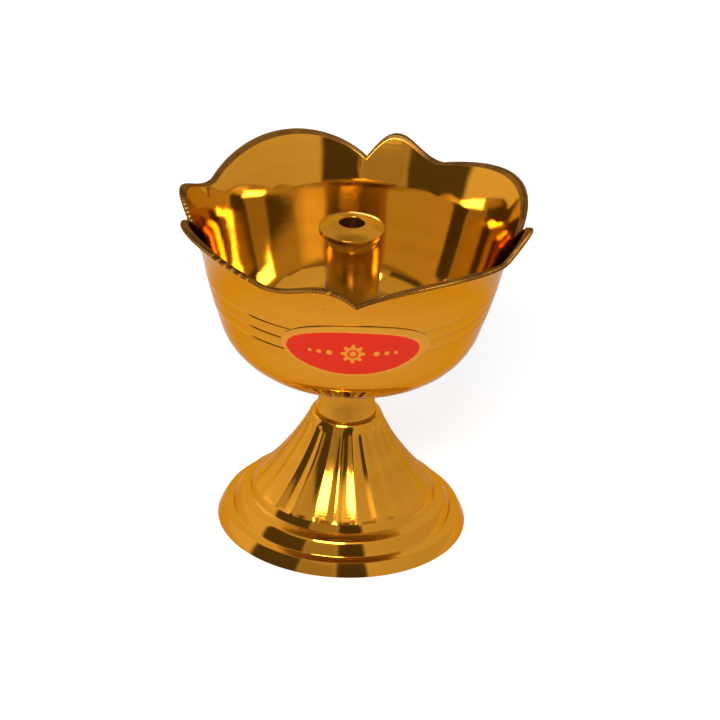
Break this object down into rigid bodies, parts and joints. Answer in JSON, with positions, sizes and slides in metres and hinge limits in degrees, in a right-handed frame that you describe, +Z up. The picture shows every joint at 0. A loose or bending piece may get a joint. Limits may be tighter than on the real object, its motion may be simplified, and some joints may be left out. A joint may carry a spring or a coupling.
{
  "type": "brass oil lamp",
  "caption": "Small brass diya: petal-rimmed bowl with a central screw-in wick holder on a fluted, stepped hollow foot.",
  "frame": {"origin": "centre of the foot's bottom ring, on the surface that the lamp stands on", "axes": "+Z up along the lamp's turned axis, -Y towards the front with the sticker, +X to the right seen from the front"},
  "size_m": [0.0651, 0.0647, 0.0654],
  "materials": {
    "foot_brass": "cast and turned, buffed bright, with turning marks on the rings",
    "collar_brass": "turned, buffed",
    "bowl_brass": "spun sheet, mirror polished, milled rim edge",
    "post_brass": "turned, lightly polished",
    "fastening_brass": "plain turned, dull",
    "sticker": "printed gloss paper sticker, left without words"
  },
  "bodies": {
    "lamp": {"foot": "foot_brass", "neck_collar": "collar_brass", "bowl": "bowl_brass", "clamp_washer": "fastening_brass", "clamp_nut": "fastening_brass", "label": "sticker"},
    "wick_holder": {"wick_holder": "post_brass"}
  },
  "joints": [
    {"name": "wick_holder_lift", "type": "slide", "parent": "lamp", "child": "wick_holder", "axis": [0, 0, 1], "range_m": [0, 0.055]}
  ]
}
